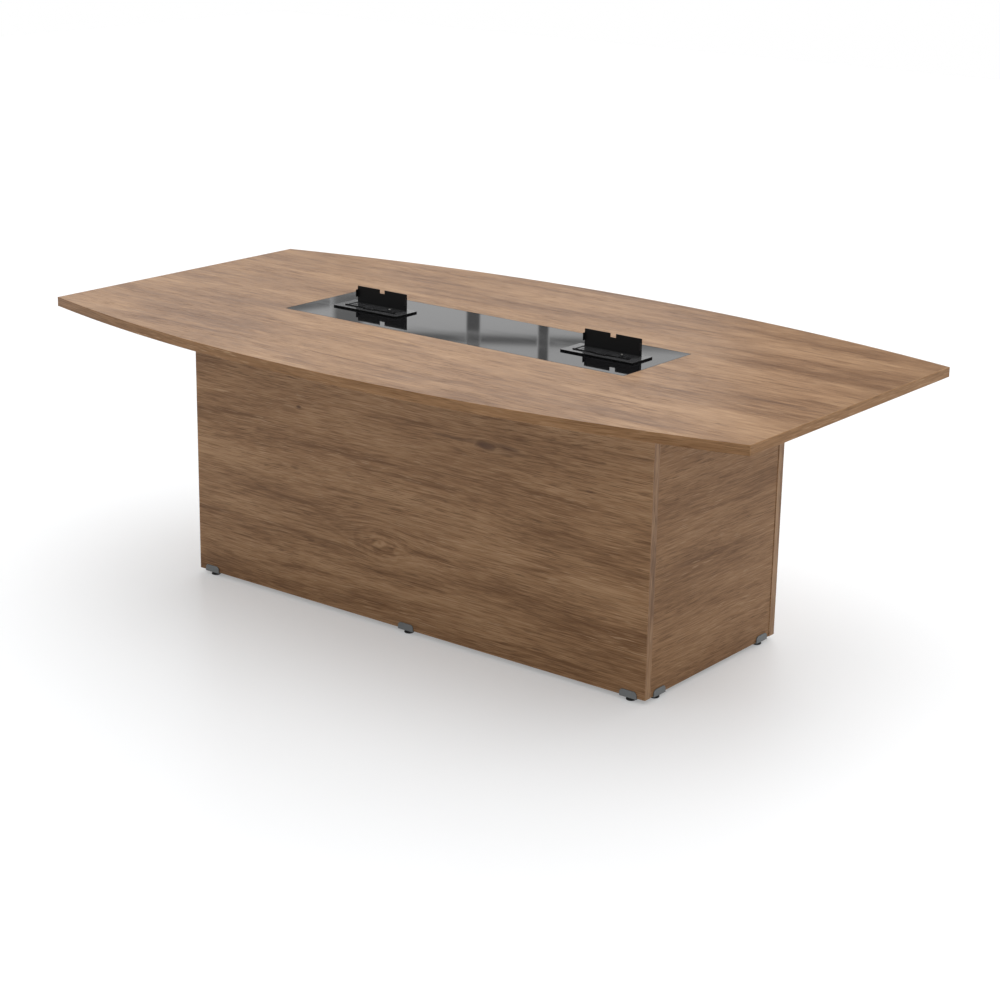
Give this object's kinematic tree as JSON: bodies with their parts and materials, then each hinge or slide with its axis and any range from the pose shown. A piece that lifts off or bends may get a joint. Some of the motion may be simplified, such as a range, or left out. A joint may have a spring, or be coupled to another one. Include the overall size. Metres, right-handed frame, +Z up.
{
  "type": "conference table",
  "caption": "Boat-shaped conference table on a box plinth, with a black glass insert that carries flip-lid connection modules, and levelling feet.",
  "frame": {"origin": "on the floor under the middle of the top", "axes": "+X along the length, +Y towards the rear, +Z up"},
  "size_m": [2.2, 1.21, 0.7983],
  "materials": {
    "oak_decor": "brown oak decor on board, satin, grain along the length",
    "oak_edge": "matching oak decor edge band, satin",
    "black_glass": "glossy black glass, painted on its underside",
    "satin_black": "fine satin black coat on sheet aluminium",
    "zinc_steel": "zinc-plated steel",
    "black_plastic": "fine-grained black plastic",
    "bracket_grey": "grey powder coat on pressed steel",
    "glide_black": "matte black plastic"
  },
  "bodies": {
    "table": {"table_top": "oak_decor", "plinth_panel_front": "oak_decor", "plinth_panel_rear": "oak_decor", "plinth_panel_left": "oak_decor", "plinth_panel_right": "oak_decor", "plinth_divider": "oak_decor", "cross_rail_left": "oak_decor", "cross_rail_right": "oak_decor", "edge_band_front": "oak_edge", "edge_band_rear": "oak_edge", "edge_band_left": "oak_edge", "edge_band_right": "oak_edge", "glass_insert": "black_glass", "corner_angle_front_left": "zinc_steel", "corner_angle_front_right": "zinc_steel", "corner_angle_rear_left": "zinc_steel", "corner_angle_rear_right": "zinc_steel", "module_left_frame": "satin_black", "module_left_socket_deck": "satin_black", "module_left_seal": "glide_black", "module_left_hinge_rod": "zinc_steel", "module_left_clamp_left": "zinc_steel", "module_left_clamp_right": "zinc_steel", "module_left_well": "black_plastic", "module_left_power_socket_1": "black_plastic", "module_left_power_socket_2": "black_plastic", "module_left_data_insert": "black_plastic", "module_right_frame": "satin_black", "module_right_socket_deck": "satin_black", "module_right_seal": "glide_black", "module_right_hinge_rod": "zinc_steel", "module_right_clamp_left": "zinc_steel", "module_right_clamp_right": "zinc_steel", "module_right_well": "black_plastic", "module_right_power_socket_1": "black_plastic", "module_right_power_socket_2": "black_plastic", "module_right_data_insert": "black_plastic", "foot_front_left_bracket": "bracket_grey", "foot_front_middle_bracket": "bracket_grey", "foot_front_right_bracket": "bracket_grey", "foot_rear_left_bracket": "bracket_grey", "foot_rear_middle_bracket": "bracket_grey", "foot_rear_right_bracket": "bracket_grey", "foot_left_front_bracket": "bracket_grey", "foot_left_rear_bracket": "bracket_grey", "foot_right_front_bracket": "bracket_grey", "foot_right_rear_bracket": "bracket_grey"},
    "lid_left": {"module_left_lid": "satin_black"},
    "lid_right": {"module_right_lid": "satin_black"},
    "glide_front_left": {"foot_front_left_glide": "glide_black"},
    "glide_front_middle": {"foot_front_middle_glide": "glide_black"},
    "glide_front_right": {"foot_front_right_glide": "glide_black"},
    "glide_rear_left": {"foot_rear_left_glide": "glide_black"},
    "glide_rear_middle": {"foot_rear_middle_glide": "glide_black"},
    "glide_rear_right": {"foot_rear_right_glide": "glide_black"},
    "glide_left_front": {"foot_left_front_glide": "glide_black"},
    "glide_left_rear": {"foot_left_rear_glide": "glide_black"},
    "glide_right_front": {"foot_right_front_glide": "glide_black"},
    "glide_right_rear": {"foot_right_rear_glide": "glide_black"}
  },
  "joints": [
    {"name": "lid_left_hinge", "type": "hinge", "parent": "table", "child": "lid_left", "pos_m": [-0.3615, 0.027, 0.75155], "axis": [1, 0, 0], "range_deg": [0, 90]},
    {"name": "lid_right_hinge", "type": "hinge", "parent": "table", "child": "lid_right", "pos_m": [0.3945, 0.027, 0.75155], "axis": [1, 0, 0], "range_deg": [0, 90]},
    {"name": "glide_front_left_level", "type": "slide", "parent": "table", "child": "glide_front_left", "axis": [0, 0, -1], "range_m": [0, 0.01]},
    {"name": "glide_front_middle_level", "type": "slide", "parent": "table", "child": "glide_front_middle", "axis": [0, 0, -1], "range_m": [0, 0.01]},
    {"name": "glide_front_right_level", "type": "slide", "parent": "table", "child": "glide_front_right", "axis": [0, 0, -1], "range_m": [0, 0.01]},
    {"name": "glide_rear_left_level", "type": "slide", "parent": "table", "child": "glide_rear_left", "axis": [0, 0, -1], "range_m": [0, 0.01]},
    {"name": "glide_rear_middle_level", "type": "slide", "parent": "table", "child": "glide_rear_middle", "axis": [0, 0, -1], "range_m": [0, 0.01]},
    {"name": "glide_rear_right_level", "type": "slide", "parent": "table", "child": "glide_rear_right", "axis": [0, 0, -1], "range_m": [0, 0.01]},
    {"name": "glide_left_front_level", "type": "slide", "parent": "table", "child": "glide_left_front", "axis": [0, 0, -1], "range_m": [0, 0.01]},
    {"name": "glide_left_rear_level", "type": "slide", "parent": "table", "child": "glide_left_rear", "axis": [0, 0, -1], "range_m": [0, 0.01]},
    {"name": "glide_right_front_level", "type": "slide", "parent": "table", "child": "glide_right_front", "axis": [0, 0, -1], "range_m": [0, 0.01]},
    {"name": "glide_right_rear_level", "type": "slide", "parent": "table", "child": "glide_right_rear", "axis": [0, 0, -1], "range_m": [0, 0.01]}
  ]
}
